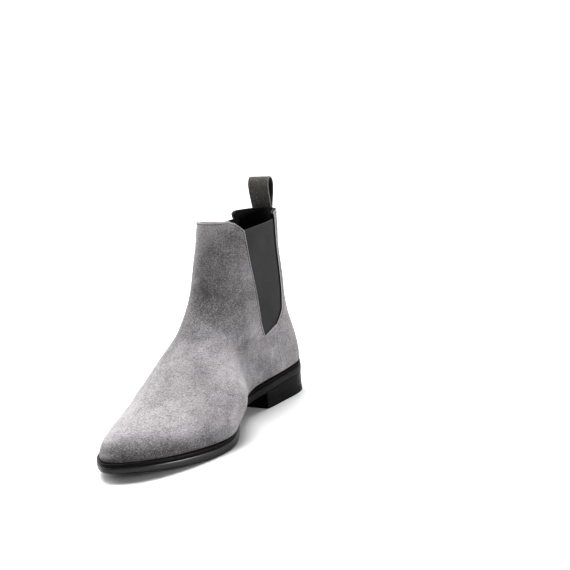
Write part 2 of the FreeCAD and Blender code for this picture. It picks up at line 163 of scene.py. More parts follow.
def new_object(name, points, faces, material):
    mesh = bpy.data.meshes.new(name)
    mesh.from_pydata([tuple(p) for p in points], [], faces)
    mesh.update()
    mesh.polygons.foreach_set("use_smooth", [True] * len(mesh.polygons))
    made = bpy.data.objects.new(name, mesh)
    bpy.context.scene.collection.objects.link(made)
    mesh.materials.append(material)
    return made


def normals_of(points, faces):
    p = np.array([tuple(q) for q in points])
    total = np.zeros_like(p)
    for face in faces:
        corners = p[list(face)]
        normal = np.cross(corners[1] - corners[0], corners[2] - corners[0])
        if len(face) == 4:
            normal = normal + np.cross(corners[2] - corners[0], corners[3] - corners[0])
        total[list(face)] += normal
    return total / np.maximum(np.linalg.norm(total, axis=1, keepdims=True), 1e-12)


def border(points, faces, normals):
    """Border edges, and at each border point the direction out of the sheet along it."""
    seen = {}
    for face in faces:
        for i, j in zip(face, face[1:] + face[:1]):
            seen[(i, j)] = True
    edges = [(i, j) for i, j in seen if (j, i) not in seen]
    out = {}
    for i, j in edges:
        run = np.array(points[j]) - np.array(points[i])
        for k in (i, j):
            out[k] = out.get(k, 0) + np.cross(run, normals[k])
    return edges, {k: v / max(np.linalg.norm(v), 1e-12) for k, v in out.items()}


def shell(name, points, faces, thick, material, slot, relief=None, edge_band=1.2 * MM,
          bare=None, painted_shading=None):
    """A closed sheet on an outer surface: relief on its face, a rounded rim, a plain back.

    bare(points) is how much of the raw cut edge shows at each point; the last argument gives at
    each point the painted light (+, paler) or painted shade (-, darker) put on the colour there.
    """
    normals = normals_of(points, faces)
    edges, out = border(points, faces, normals)
    base = np.array([tuple(p) for p in points])
    for k, way in out.items():
        base[k] -= way * RIM
    near = KDTree(len(out))
    for n, k in enumerate(out):
        near.insert(Vector(base[k]), n)
    near.balance()
    far = np.array([near.find(Vector(p))[2] for p in base])
    face = base.copy()
    if relief is not None:
        face += normals * relief(base, far)[:, None]
    back = base - normals * thick
    count = len(base)
    every = [face, back]
    cells = list(faces) + [tuple(i + count for i in reversed(f)) for f in faces]
    rim_index = {k: n for n, k in enumerate(out)}
    turns = (35, 90, 145)
    start = 2 * count
    for turn in turns:
        a = math.radians(turn)
        every.append(np.array([
            face[k] * (0.5 + 0.5 * math.cos(a)) + back[k] * (0.5 - 0.5 * math.cos(a))
            + out[k] * RIM * math.sin(a) for k in out]))
    for i, j in edges:
        ladder_i = [i] + [start + t * len(out) + rim_index[i] for t in range(3)] + [i + count]
        ladder_j = [j] + [start + t * len(out) + rim_index[j] for t in range(3)] + [j + count]
        for t in range(4):
            cells.append((ladder_j[t], ladder_i[t], ladder_i[t + 1], ladder_j[t + 1]))
    made = new_object(name, np.vstack(every), cells, material)
    worn = np.concatenate([np.clip(1 - far / edge_band, 0, 1)] * 2 + [np.ones(3 * len(out))])
    if bare is not None:
        worn = worn * bare(np.vstack(every))
    cut = np.concatenate([np.zeros(len(out) + 2 * count)] + [np.ones(len(out))] * 2)
    # painted light and shade for each point, kept as an attribute for the material
    painted_shading_and_tone = painted_shading(np.vstack(every)) if painted_shading is not None else 0 * worn
    for key, value in (("edge", worn), ("cut", cut), ("painted_shading_and_tone", painted_shading_and_tone)):
        made.data.attributes.new(key, "FLOAT", "POINT").data.foreach_set(
            "value", value.astype(np.float32))
    return made


def threads(name, runs, material):
    """Stitches laid end to end along each run of (point, normal)."""
    points, faces = [], []
    turn = [2 * math.pi * k / 6 for k in range(6)]
    for run in runs:
        spots = np.array([tuple(p) for p, _ in run])
        ups = np.array([tuple(n) for _, n in run])
        gaps = np.linalg.norm(np.diff(spots, axis=0), axis=1)
        along = np.concatenate([[0], np.cumsum(gaps)])
        if along[-1] < STITCH_PITCH:
            continue
        count = int(along[-1] / STITCH_PITCH)
        for s in (np.arange(count) + 0.5) * along[-1] / count:
            rings = []
            for u in (-1.0, -0.82, -0.4, 0.0, 0.4, 0.82, 1.0):
                at = s + u * STITCH_LONG / 2
                p = np.array([np.interp(at, along, spots[:, k]) for k in range(3)])
                up = np.array([np.interp(at, along, ups[:, k]) for k in range(3)])
                q = np.array([np.interp(at + 1e-4, along, spots[:, k]) for k in range(3)])
                way = (q - p) / max(np.linalg.norm(q - p), 1e-9)
                if not way.any():
                    way = spots[-1] - spots[-2]
                    way = way / np.linalg.norm(way)
                across = np.cross(up, way)
                across /= max(np.linalg.norm(across), 1e-9)
                lift = STITCH_RADIUS * (0.55 - 1.1 * u * u)
                radius = STITCH_RADIUS * math.sqrt(max(0.0, 1 - 0.85 * u ** 4))
                rings.append([p + up * (lift + radius * math.sin(t)) + across * radius
                              * math.cos(t) for t in turn])
            base = len(points)
            for ring in rings:
                points += ring
            for r in range(len(rings) - 1):
                for k in range(6):
                    a, b = base + r * 6 + k, base + r * 6 + (k + 1) % 6
                    faces.append((a, b, b + 6, a + 6))
            faces.append(tuple(base + k for k in reversed(range(6))))
            faces.append(tuple(base + (len(rings) - 1) * 6 + k for k in range(6)))
    return new_object(name, points, faces, material)


# --- materials ----------------------------------------------------------------------------

class Look:
    """A material's node tree, built a node at a time."""

    def __init__(self, name, **values):
        self.material = bpy.data.materials.new(name)
        self.material.use_nodes = True
        self.tree = self.material.node_tree
        self.shader = self.tree.nodes["Principled BSDF"]
        for key, value in values.items():
            self.shader.inputs[key.replace("_", " ")].default_value = value
        self.place = self.tree.nodes.new("ShaderNodeTexCoord").outputs["Object"]

    def node(self, kind, **inputs):
        made = self.tree.nodes.new("ShaderNode" + kind)
        for key, value in inputs.items():
            socket = made.inputs[key.replace("_", " ")]
            if isinstance(value, bpy.types.NodeSocket):
                self.tree.links.new(value, socket)
            else:
                socket.default_value = value
        return made

    def moved(self, scale, rotation=(0, 0, 0)):
        return self.node("Mapping", Vector=self.place, Scale=scale,
                         Rotation=rotation).outputs[0]

    def noise(self, scale, detail=3.0, place=None, roughness=0.55, distortion=0.0):
        return self.node("TexNoise", Vector=place or self.place, Scale=scale, Detail=detail,
                         Roughness=roughness, Distortion=distortion).outputs[0]

    def math(self, operation, a, b=0.0):
        made = self.tree.nodes.new("ShaderNodeMath")
        made.operation = operation
        for socket, value in zip(made.inputs, (a, b)):
            if isinstance(value, bpy.types.NodeSocket):
                self.tree.links.new(value, socket)
            else:
                socket.default_value = value
        return made.outputs[0]

    def spread(self, value, low, high, to_low=0.0, to_high=1.0):
        made = self.node("MapRange", Value=value, From_Min=low, From_Max=high,
                         To_Min=to_low, To_Max=to_high)
        return made.outputs[0]

    def colour(self, share, dark, light):
        made = self.tree.nodes.new("ShaderNodeMix")
        made.data_type = "RGBA"
        sockets = [s for s in made.inputs if s.type == "RGBA"]
        for socket, value in zip(sockets, (dark, light)):
            if isinstance(value, bpy.types.NodeSocket):
                self.tree.links.new(value, socket)
            else:
                socket.default_value = (*value, 1.0)
        factor = [s for s in made.inputs if s.type == "VALUE"][0]
        self.tree.links.new(share, factor)
        return [s for s in made.outputs if s.type == "RGBA"][0]

    def bump(self, height, strength, distance):
        made = self.node("Bump", Height=height, Strength=strength, Distance=distance)
        self.tree.links.new(made.outputs[0], self.shader.inputs["Normal"])

    def attribute(self, name):
        made = self.tree.nodes.new("ShaderNodeAttribute")
        made.attribute_name = name
        return made.outputs["Fac"]

    def set(self, key, value):
        self.tree.links.new(value, self.shader.inputs[key])


INK = (0.006, 0.006, 0.006)
# where along the boot the sole's edge goes from dull to polished
POLISHED = (85 * MM, 150 * MM)


def suede(name, dark, light, edge, shadow, inked=False):
    """Suede: cloudy tone, faint brush strokes, pale scuffs, a peppery grain, and painted light
    and shade from the panels' points.

    An inked one has its cut edges painted black.
    """
    look = Look(name, Roughness=0.95, Specular_IOR_Level=0.08, Sheen_Weight=0.5,
                Sheen_Roughness=0.4)
    cloud = look.noise(15.0, 3.0, distortion=0.6)
    patch = look.noise(48.0, 4.0, distortion=1.2)
    strokes = look.noise(1.0, 4.0, look.moved((210, 210, 45), (0.5, 0.35, 0.0)))
    grain = look.noise(620.0, 4.0, look.moved((1.0, 1.0, 1.7), (0.3, 0.2, 0.5)), roughness=0.75)
    fuzz = look.noise(2300.0, 2.0)
    tone = look.math("MULTIPLY", cloud, 0.42)
    for value, share in ((patch, 0.20), (strokes, 0.14), (grain, 0.24)):
        tone = look.math("ADD", tone, look.math("MULTIPLY", value, share))
    shade = look.colour(look.spread(tone, 0.36, 0.64), dark, light)
    # painted light and shade: the panels' point attribute, with random cloudy tone added, darkens
    # the colour towards near-black (painted shade) or pales it towards the edge colour (painted
    # highlight)
    painted_shading_and_tone = look.math("ADD", look.attribute("painted_shading_and_tone"), look.spread(cloud, 0.3, 0.7, -0.35, 0.35))
    shade = look.colour(look.spread(painted_shading_and_tone, 0.0, -1.6, 0.0, 0.62), shade, (0.012, 0.012, 0.012))
    shade = look.colour(look.spread(painted_shading_and_tone, 0.0, 1.2, 0.0, 0.42), shade, edge)
    speck = look.math("ADD", look.math("ADD", grain, fuzz),
                      look.spread(patch, 0.3, 0.7, -0.045, 0.045))
    shade = look.colour(look.spread(speck, 0.76, 1.0, 0.75, 0.0), shade, shadow)
    shade = look.colour(look.spread(speck, 1.04, 1.25, 0.0, 0.5), shade, edge)
    scuff = look.noise(1.0, 3.0, look.moved((20, 20, 60), (0.9, 0.2, 0.4)), distortion=1.0)
    shade = look.colour(look.spread(scuff, 0.58, 0.74, 0.0, 0.3), shade, edge)
    raw = look.math("MULTIPLY", look.math("POWER", look.attribute("edge"), 1.5), 0.6)
    shade = look.colour(raw, shade, edge)
    if inked:
        shade = look.colour(look.attribute("cut"), shade, INK)
    look.set("Base Color", shade)
    pile = look.math("ADD", look.math("MULTIPLY", grain, 0.7), look.math("MULTIPLY", fuzz, 0.3))
    pile = look.math("ADD", pile, look.math("MULTIPLY", strokes, 0.4))
    look.bump(pile, 0.8, 0.55 * MM)
    look.shader.inputs["Sheen Tint"].default_value = (*edge, 1.0)
    return look.material


def smooth_leather(name, colour, roughness, grain=1400.0, depth=0.05, shine=0.5):
    look = Look(name, Specular_IOR_Level=shine)
    pores = look.noise(grain, 3.0)
    wear = look.noise(60.0, 3.0)
    lighter = tuple(min(1.0, c * 1.8 + 0.004) for c in colour)
    look.set("Base Color", look.colour(look.spread(wear, 0.3, 0.75), colour, lighter))
    look.set("Roughness", look.spread(wear, 0.3, 0.7, roughness - 0.06, roughness + 0.08))
    look.bump(pores, 0.35, depth * MM)
    return look.material


def elastic_look():
    look = Look("charcoal_elastic", Roughness=0.85, Specular_IOR_Level=0.15, Sheen_Weight=0.06,
                Sheen_Roughness=0.5)
    weave = look.noise(1.0, 2.0, look.moved((2600, 2600, 900)))
    worn = look.noise(45.0, 3.0)
    tone = look.math("ADD", look.math("MULTIPLY", weave, 0.6), look.math("MULTIPLY", worn, 0.4))
    look.set("Base Color", look.colour(look.spread(tone, 0.3, 0.7), (0.022, 0.022, 0.023),
                                       (0.040, 0.040, 0.041)))
    look.bump(weave, 0.4, 0.12 * MM)
    return look.material


def sole_edge_look(name, roughness, coat, shine):
    """Black edge dressing, polished towards the forefoot and dull under the arch and heel."""
    look = Look(name, Coat_Roughness=0.25)
    along = look.node("SeparateXYZ", Vector=look.place).outputs[0]
    look.set("Specular IOR Level", look.spread(along, *POLISHED, 0.35 * shine, shine))
    look.set("Coat Weight", look.spread(along, *POLISHED, 0.0, coat))
    fibre = look.noise(1.0, 3.0, look.moved((160, 160, 1500)))
    smear = look.noise(35.0, 3.0)
    look.set("Base Color", look.colour(look.spread(fibre, 0.35, 0.7), (0.003, 0.003, 0.003),
                                       (0.010, 0.009, 0.009)))
    look.set("Roughness", look.spread(smear, 0.3, 0.7, roughness - 0.06, roughness + 0.1))
    look.bump(fibre, 0.25, 0.06 * MM)
    return look.material


GREYS = ((0.116, 0.111, 0.114), (0.240, 0.231, 0.237), (0.34, 0.329, 0.333),
         (0.043, 0.040, 0.041))
GREY_SUEDE = suede("grey_suede", *GREYS)
INKED_SUEDE = suede("grey_suede_inked_edge", *GREYS, inked=True)
TAB_SUEDE = suede("tab_suede", (0.058, 0.056, 0.052), (0.105, 0.101, 0.094),
                  (0.22, 0.215, 0.21), (0.030, 0.028, 0.026))
# painted shade: the tab's lining is given a near-black colour for the shade inside the loop
TAB_LINING = smooth_leather("tab_lining", (0.020, 0.020, 0.021), 0.6, shine=0.3)
ELASTIC_LOOK = elastic_look()
LINING = smooth_leather("black_lining", (0.004, 0.004, 0.0045), 0.6, shine=0.25)
WELT_LOOK = sole_edge_look("welt_edge", 0.40, 0.0, 0.12)
SOLE_LOOK = sole_edge_look("outsole_edge", 0.36, 0.22, 0.40)
HEEL_LOOK = sole_edge_look("heel_edge", 0.24, 0.0, 0.20)
LIFT_LOOK = smooth_leather("rubber_lift", (0.003, 0.003, 0.003), 0.5, 2200.0, 0.08, 0.12)
THREAD = smooth_leather("dark_thread", (0.022, 0.021, 0.022), 0.7, 3000.0, 0.05, 0.3)
STEEL = smooth_leather("spring_steel", (0.45, 0.45, 0.46), 0.35, 800.0, 0.02)
BRASS = smooth_leather("heel_nail_brass", (0.55, 0.40, 0.16), 0.3, 900.0, 0.02)
for metal in (STEEL, BRASS):
    metal.node_tree.nodes["Principled BSDF"].inputs["Metallic"].default_value = 1.0
BOARD = smooth_leather("insole_board", (0.42, 0.31, 0.20), 0.85, 700.0, 0.15)
CORK = smooth_leather("ground_cork", (0.32, 0.19, 0.10), 0.9, 380.0, 0.4)
FOAM = smooth_leather("heel_foam", (0.09, 0.09, 0.09), 0.95, 900.0, 0.2)
STIFFENER = smooth_leather("stiffener", (0.48, 0.44, 0.37), 0.7, 500.0, 0.1)
SOCK = smooth_leather("sock_leather", (0.014, 0.014, 0.014), 0.5)

NODE_LOOKS = {
    "facing_front": LINING, "facing_back": LINING, "heel_counter": STIFFENER,
    "toe_puff": STIFFENER, "heel_sock": SOCK, "heel_pad": FOAM, "insole_rear": BOARD,
    "insole_forepart": BOARD, "shank": STEEL, "filler_rear": CORK, "filler_forepart": CORK,
    "heel_nails": BRASS, "heel_block": HEEL_LOOK, "heel_top_lift": LIFT_LOOK,
}


# --- the sole's curves, read from the frame -----------------------------------------------

OUTSOLE = Solid("outsole_rear", "outsole_forepart")
WELT = Solid("welt_rear", "welt_forepart")
SOLE_LOW, SOLE_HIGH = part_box("outsole_rear")[0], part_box("outsole_forepart")[1]
STATIONS = np.linspace(SOLE_LOW.x + 0.5 * MM, SOLE_HIGH.x - 0.5 * MM, 160)
OUTSOLE_TOP = [OUTSOLE.down(x) for x in STATIONS]
OUTSOLE_FOOT = [OUTSOLE.up(x) for x in STATIONS]
BALL = joint("toe_flex")["pos_m"][0]
BALL_EDGE = OUTSOLE.side(1, BALL, OUTSOLE.down(BALL) - MM) - 2 * MM
WELT_THICK = WELT.down(BALL - MM, BALL_EDGE) - OUTSOLE.down(BALL - MM, BALL_EDGE)


def outsole_top(x):
    return np.interp(x, STATIONS, OUTSOLE_TOP)


def outsole_foot(x):
    return np.interp(x, STATIONS, OUTSOLE_FOOT)


def sole_top(x):
    return outsole_top(x) + WELT_THICK


# --- upper panels -------------------------------------------------------------------------

VAMP, QUARTER = Solid("vamp"), Solid("quarter")
VAMP_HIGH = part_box("vamp")[1]
QUARTER_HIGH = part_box("quarter")[1]
# how far inside the leather the highest and lowest rays of a panel stay
TOP_MARGIN = 0.05 * MM
FOOT_MARGIN = 0.4 * MM
# distance between levels of the suede panels, and of those round the elastic's foot
FRONT_PITCH = 1.3 * MM
BACK_PITCH = 1.4 * MM
KNEE_PITCH = 0.7 * MM
# heights between which the foot of the elastic is looked for
FOOT_SEARCH = (0.055, 0.130)
# x behind the lowest point of the elastic's edge, where its foot rises backwards
FOOT_AT = (0.029, 0.041)
TIP_AT = np.arange(0.042, 0.052, 0.0002)
# the side seam: an x in front of it, and two heights at which it is measured
BEFORE_SEAM = 0.035
SEAM_AT_HEIGHTS = (0.040, 0.068)
# an x inside each panel at every level
FRONT_INSIDE = 0.078
BACK_INSIDE = -0.010
# x of the quarter's foot, and the heights where the elastic's edge starts and turns up
BACK_SEAM_AT = 0.025
BACK_STEP = 0.076
BACK_KNEE = 0.0955
# x limits for the quarter's search, forwards and backwards
BACK_REACH = (0.050, -0.060)
# height over the foot within which levels stop following the sole
FRONT_FADE = 0.09
BACK_FADE = 0.05
# most that the vamp's search goes behind the tip of the elastic
NOTCH_REACH = 15 * MM


def stitched(base, far):
    """Height of a suede panel's face: edges rolled down, a shallow channel under the thread."""
    roll = -0.22 * MM * np.clip(1 - far / (0.9 * MM), 0, 1) ** 2
    channel = -0.22 * MM * np.exp(-((far - STITCH_INSET) / (0.55 * MM)) ** 2)
    upper = ease((base[:, 2] - sole_top(base[:, 0]) - 8 * MM) / (8 * MM))
    swell = 0.3 * MM * np.sin(base[:, 0] * 95 + 2.1 * np.sin(base[:, 2] * 60)) * np.sin(
        base[:, 2] * 70 + 1.3 * np.sin(base[:, 0] * 45))
    return roll + channel * upper + swell * np.clip(far / (8 * MM), 0, 1) * upper


def levels(low, high, pitch, fine_high=False):
    """Heights from low to high about a pitch apart, finer towards a sewn edge at the top."""
    end = [high - s * MM for s in reversed(EDGE_STEPS)] if fine_high else [high]
    count = max(1, round((end[0] - low) / pitch))
    middle = [low + (end[0] - low) * k / count for k in range(1, count)]
    return [low] + middle + end


def spaced(start, end, count):
    """Positions from a sewn edge (fine steps) to a closed end (evenly spread on its round)."""
    way = math.copysign(1.0, end - start)
    fine = [start + way * s * MM for s in EDGE_STEPS]
    rest = [end - (end - fine[-1]) * (1 - k / count) ** 1.5 for k in range(1, count + 1)]
    return fine + rest


def wall_point(solid, side, x, z):
    """The wall at (x, z), read beside its outline where the ray just misses it."""
    for reach in (0.0, 0.1, 0.3, 0.7, 1.5):
        for turn in range(8 if reach else 1):
            a = math.pi * turn / 4
            y = solid.side(side, x + reach * MM * math.cos(a), z + reach * MM * math.sin(a))
            if y is not None:
                return Vector((x, y, z))
    return Vector((x, 0.0, z))


def row(solid, height, ceiling, inside, ends, count):
    """Points of one level from the sewn edge on one side, round the closed end, to the other.

    height(x) is the level's own line; ends are the two x to search towards from inside.
    """
    sides = {}

    def lift(x):
        return min(max(height(x), sole_top(x) + FOOT_MARGIN), ceiling)

    def reach(side, target):
        good, bad = inside, target
        for _ in range(16):
            middle = (good + bad) / 2
            if solid.side(side, middle, lift(middle)) is None:
                bad = middle
            else:
                good = middle
        return good

    close = (reach(1, ends[1]) + reach(-1, ends[1])) / 2
    for side in (1, -1):
        line = []
        for x in spaced(reach(side, ends[0]), close, count)[:-1]:
            p = wall_point(solid, side, x, lift(x))
            p.z = height(x)
            line.append(p)
        sides[side] = line
    crown = Vector((close, 0.0, height(close)))
    return sides, crown


def level_line(level, foot_at, fade_over):
    """A level that follows the sole's top line low down and is flat higher up."""
    share = 1 - float(ease((level - sole_top(foot_at)) / fade_over))
    return lambda x: level + (sole_top(x) - sole_top(foot_at)) * share


def panel(rows, front):
    """Grid faces of full rows; a front panel runs from the inner side to the outer one."""
    lines = []
    for sides, crown in rows:
        first, last = (-1, 1) if front else (1, -1)
        lines.append(sides[first] + [crown] + sides[last][::-1])
    points = [p for line in lines for p in line]
    return points, grid_faces(len(lines), len(lines[0]))


def build_front():
    """The vamp's outer surface: full levels, and a patch behind the tip on each side."""
    seam = [VAMP.last(1, (BEFORE_SEAM, z), (0.0, z)) for z in SEAM_AT_HEIGHTS]
    lean = (seam[1][0] - seam[0][0]) / (seam[1][1] - seam[0][1])
    low_at, high_at = FOOT_SEARCH
    notch = [VAMP.last(1, (x, low_at), (x, high_at)) for x in FOOT_AT]
    fall = (notch[1][1] - notch[0][1]) / (notch[1][0] - notch[0][0])
    tip = min((VAMP.last(1, (x, low_at), (x, high_at)) for x in TIP_AT), key=lambda p: p[1])
    foot = float(sole_top(tip[0]))
    below = levels(foot, tip[1], FRONT_PITCH, fine_high=True)
    above = levels(tip[1], VAMP_HIGH.z, FRONT_PITCH, fine_high=True)
    rows = []
    for level in below[:-1] + above:
        line = level_line(level, tip[0], FRONT_FADE)
        in_notch = tip[0] - min(0.5 * max(level - tip[1], 0.0), NOTCH_REACH)
        rows.append(row(VAMP, line, VAMP_HIGH.z - TOP_MARGIN, FRONT_INSIDE,
                        (in_notch, SOLE_HIGH.x + 0.01), 120))
    parts = [panel(rows, True)]
    # shares of the way from the side seam to the tip, finer at the seam
    across = [s / 20 for s in (0, .5, 1, 1.5, 2, 2.6, 3.3, 4.2)] + list(np.linspace(0.26, 1, 14))
    for side in (1, -1):
        patch = []
        for level in below:
            share = (level - foot) / (tip[1] - foot)
            line = []
            for u in across:
                x = seam[0][0] + lean * (share * tip[1]) + (tip[0] - seam[0][0]) * u
                x = min(x, tip[0])
                top = notch[0][1] + fall * (x - notch[0][0])
                low = float(sole_top(x))
                z = low + (top - low) * share if u < 1 else level
                x = seam[0][0] + lean * (z - seam[0][1]) if u == 0 else x
                x = tip[0] if u == 1 else x
                p = wall_point(VAMP, side, x, max(z, low + FOOT_MARGIN))
                p.z = z
                line.append(p)
            patch.append(line if side < 0 else line[::-1])
        parts.append(([p for line in patch for p in line], grid_faces(len(patch), len(patch[0]))))
    return merged(parts), rows, tip


def build_back():
    low = float(sole_top(BACK_SEAM_AT))
    heights = levels(low, BACK_STEP, BACK_PITCH)
    heights += levels(BACK_STEP + 0.5 * MM, BACK_KNEE, KNEE_PITCH)
    heights += levels(BACK_KNEE + KNEE_PITCH, QUARTER_HIGH.z, BACK_PITCH, fine_high=True)
    rows = []
    for level in heights:
        line = level_line(level, BACK_SEAM_AT, BACK_FADE)
        rows.append(row(QUARTER, line, QUARTER_HIGH.z - TOP_MARGIN, BACK_INSIDE, BACK_REACH, 46))
    return panel(rows, False), rows


FRONT, FRONT_ROWS, TIP = build_front()
BACK, BACK_ROWS = build_back()


def bare_edge(points):
    """The cut edges show round the elastic and the topline, and hardly at the side seam."""
    return 0.15 + 0.85 * ease((points[:, 2] - TIP[1] + 3 * MM) / (6 * MM))


def painted_light_and_shade(points):
    """Painted light and shade: paler on the toe's top, which faces the light from above, and
    painted shade on the shaft's front and low at the toe by the sole.
    """
    x, y, z = points.T
    above = z - sole_top(x)
    shaft = ease((z - 70 * MM) / (45 * MM)) * ease((x - 35 * MM) / (30 * MM))
    shaft = shaft * (1 - 0.55 * ease(-y / (22 * MM)))
    top = ease((z - 160 * MM) / (22 * MM))
    toe = ease((x - 115 * MM) / (70 * MM)) * ease((above - 8 * MM) / (20 * MM))
    feather = ease(1 - above / (23 * MM)) * ease((x - 150 * MM) / (75 * MM))
    feather = feather * (1 - 0.7 * ease(-y / (34 * MM)))
    return toe * (1 - (y / (60 * MM)) ** 2) - 0.95 * shaft * (1 - 0.5 * top) - 2.0 * feather


# the panels carry painted light and shade as a point attribute
PANEL = dict(relief=stitched, bare=bare_edge, painted_shading=painted_light_and_shade)
front_panel = shell("front_panel", *FRONT, SUEDE, GREY_SUEDE, "suede", **PANEL)
back_panel = shell("back_panel", *BACK, SUEDE, INKED_SUEDE, "suede", **PANEL)
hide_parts("vamp")
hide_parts("quarter")


def gusset(name, node, side):
    """Elastic with straight woven ribs, one column of points to each sixth of a rib."""
    solid = Solid(node)
    low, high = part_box(node)
    inside = high.z - 2.2 * MM
    step = RIB_PITCH / 6
    margin = 0.3 * MM
    columns = []
    count = int((high.x - low.x - 2 * margin) / step)
    for k in range(count + 1):
        x = low.x + margin + k * step
        if solid.side(side, x, inside) is None:
            continue
        top = solid.last(side, (x, inside), (x, high.z + MM))[1]
        foot = solid.last(side, (x, inside), (x, low.z - MM))[1]
        if top - foot > 8 * MM:
            heights = [top - s * MM for s in EDGE_STEPS]
            heights += list(np.linspace(top - 6 * MM, foot, 40))
        else:
            heights = np.linspace(top, foot, len(EDGE_STEPS) + 40)
        line = []
        for z in heights:
            p = wall_point(solid, side, x, min(max(z, foot + TOP_MARGIN), top - TOP_MARGIN))
            p.z = z
            line.append(p)
        columns.append(line if side < 0 else line[::-1])
    points = [p for line in columns for p in line]
    faces = grid_faces(len(columns), len(columns[0]))

    def ribs(base, far):
        wave = 0.5 + 0.5 * np.cos(2 * math.pi * (base[:, 0] - low.x - margin) / RIB_PITCH)
        top_band = np.clip((high.z - 0.4 * MM - base[:, 2]) / (1.6 * MM), 0, 1)
        return -RIB_DEPTH * (1 - wave) * top_band - 0.15 * MM * (1 - np.clip(far / MM, 0, 1))

    made = shell(name, points, faces, ELASTIC, ELASTIC_LOOK, "elastic", ribs)
    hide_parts(node)
    return made


gusset_outer = gusset("elastic_outer", "gusset_lateral", 1)
gusset_inner = gusset("elastic_inner", "gusset_medial", -1)


# --- sole ---------------------------------------------------------------------------------

# an x inside the sole, and how many points each side of its outline has
WAIST_AT = 0.1
PLAN_POINTS = 130


def plan(solid, middle, count):
    """Closed outline of a sole layer in plan, heel to toe on the outer side and back."""
    outer, inner = [], []
    ends = []
    for outside in (SOLE_LOW.x - 0.01, SOLE_HIGH.x + 0.01):
        a, b = WAIST_AT, outside
        for _ in range(18):
            c = (a + b) / 2
            a, b = (c, b) if solid.side(1, c, middle(c)) is not None else (a, c)
        ends.append(a)
    for k in range(1, count):
        x = ends[0] + (ends[1] - ends[0]) * (0.5 - 0.5 * math.cos(math.pi * k / count))
        outer.append((x, solid.side(1, x, middle(x))))
        inner.append((x, solid.side(-1, x, middle(x))))
    return np.array([(ends[0], 0.0)] + outer + [(ends[1], 0.0)] + inner[::-1])


def inset_plan(outline, inset):
    run = np.roll(outline, -1, axis=0) - np.roll(outline, 1, axis=0)
    out = np.stack([-run[:, 1], run[:, 0]], axis=1)
    out /= np.linalg.norm(out, axis=1, keepdims=True)
    return outline - out * inset


def slab(name, outline, foot, top, profile, material):
    """Closed slab between two curved heights, its edge a profile of (inset, share of height)."""
    count = len(outline) // 2
    points, faces, rings = [], [], []
    for inset, share in profile:
        ring = inset_plan(outline, inset * MM)
        rings.append(len(points))
        for x, y in ring:
            low, high = float(foot(x)), float(top(x))
            points.append((x, y, low + (high - low) * share))
    total = len(outline)
    for a, b in zip(rings, rings[1:]):
        for i in range(total):
            j = (i + 1) % total
            faces.append((a + j, a + i, b + i, b + j))
    for ring, height, up in ((rings[0], foot, False), (rings[-1], top, True)):
        across = 10
        lines = []
        for k in range(1, count):
            one, two = np.array(points[ring + k]), np.array(points[ring + total - k])
            line = [ring + k]
            for m in range(1, across):
                x, y, _ = one + (two - one) * m / across
                line.append(len(points))
                points.append((x, y, float(height(x))))
            lines.append(line + [ring + total - k])
        cells = []
        for a, b in zip(lines, lines[1:]):
            cells += [(a[m], b[m], b[m + 1], a[m + 1]) for m in range(across)]
        cells += [(ring, lines[0][m], lines[0][m + 1]) for m in range(across)]
        cells += [(lines[-1][m], ring + count, lines[-1][m + 1]) for m in range(across)]
        faces += [tuple(reversed(c)) for c in cells] if up else cells
    return new_object(name, points, faces, material)


def outsole_middle(x):
    return float(outsole_top(x) + outsole_foot(x)) / 2


def welt_middle(x):
    return float(outsole_top(x)) + WELT_THICK / 2


# rounded edges from the foot up, as (mm in from the outline, share of the height)
OUTSOLE_EDGE = [(1.3, 0.0), (0.6, 0.03), (0.16, 0.12), (0.0, 0.3), (0.0, 0.7), (0.12, 0.9),
                (0.5, 1.0)]
WELT_EDGE = [(0.5, 0.0), (0.1, 0.12), (0.0, 0.4), (0.05, 0.75), (0.3, 0.95), (0.8, 1.0)]
outsole = slab("outsole", plan(OUTSOLE, outsole_middle, PLAN_POINTS), outsole_foot, outsole_top,
               OUTSOLE_EDGE, SOLE_LOOK)
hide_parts("outsole_rear", "outsole_forepart")
welt = slab("welt", plan(WELT, welt_middle, PLAN_POINTS), outsole_top, sole_top, WELT_EDGE,
            WELT_LOOK)
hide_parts("welt_rear", "welt_forepart")


# --- pull tab -----------------------------------------------------------------------------

# one leg of the loop: share of its height, how far out it stands (share of the half depth),
# and how much of a ply's own distance from the middle line it keeps there
LEG = [(0.0, -0.060, 0.35), (0.06, 0.10, 0.6), (0.25, 0.42, 1.0), (0.52, 0.86, 1.0),
       (0.74, 1.0, 1.0), (0.90, 0.78, 1.0), (0.975, 0.42, 1.0), (1.0, 0.0, 1.0)]
# share of the height from which the loop is a half ellipse
CROWN = 0.74
# positions over half the strap's width, closer together at the cut edges
ACROSS = [-1, -0.975, -0.93, -0.86, -0.6, -0.3, 0, 0.3, 0.6, 0.86, 0.93, 0.975, 1]
SUNK = 1.5 * MM


